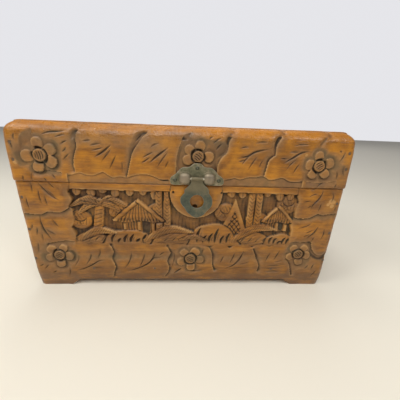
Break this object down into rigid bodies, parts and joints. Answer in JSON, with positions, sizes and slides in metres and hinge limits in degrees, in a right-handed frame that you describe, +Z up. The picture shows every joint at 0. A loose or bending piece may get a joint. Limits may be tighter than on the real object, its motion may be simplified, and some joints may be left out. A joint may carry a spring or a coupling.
{
  "type": "keepsake box",
  "caption": "Carved wooden box with a hinged lid, bracket feet, a sunk relief scene on the front and a swinging metal hasp on a scalloped latch plate.",
  "frame": {"origin": "centre of the bounding box at the floor, under the feet", "axes": "+X along the box's width, to the right as seen from the front; the front faces -Y; +Z up"},
  "size_m": [0.3, 0.1756, 0.159],
  "materials": {
    "carved_wood": "varnished",
    "plain_wood": "bare",
    "nail_steel": "dulled",
    "hinge_brass": "aged",
    "latch_brass": "aged grey green"
  },
  "bodies": {
    "body": {"body_front": "carved_wood", "body_back": "carved_wood", "body_left": "carved_wood", "body_right": "carved_wood", "bottom_board": "plain_wood", "body_corner_nails": "nail_steel", "bottom_nails": "nail_steel", "hinge_left_body_leaf": "hinge_brass", "hinge_right_body_leaf": "hinge_brass", "hinge_left_pin": "nail_steel", "hinge_right_pin": "nail_steel", "hinge_body_screws": "hinge_brass"},
    "lid": {"lid_front": "carved_wood", "lid_back": "carved_wood", "lid_left": "carved_wood", "lid_right": "carved_wood", "lid_top": "carved_wood", "lid_corner_nails": "nail_steel", "hinge_left_lid_leaf": "hinge_brass", "hinge_right_lid_leaf": "hinge_brass", "hinge_lid_screws": "hinge_brass", "latch_plate": "latch_brass", "latch_nails": "latch_brass", "hasp_pin": "latch_brass"},
    "hasp": {"hasp": "latch_brass"}
  },
  "joints": [
    {"name": "lid_hinge", "type": "hinge", "parent": "body", "child": "lid", "pos_m": [0, 0.08428, 0.1086], "axis": [-1, 0, 0], "range_deg": [0, 98]},
    {"name": "hasp_hinge", "type": "hinge", "parent": "lid", "child": "hasp", "pos_m": [0.0095, -0.08543, 0.1154], "axis": [-1, 0, 0], "range_deg": [0, 165]}
  ]
}
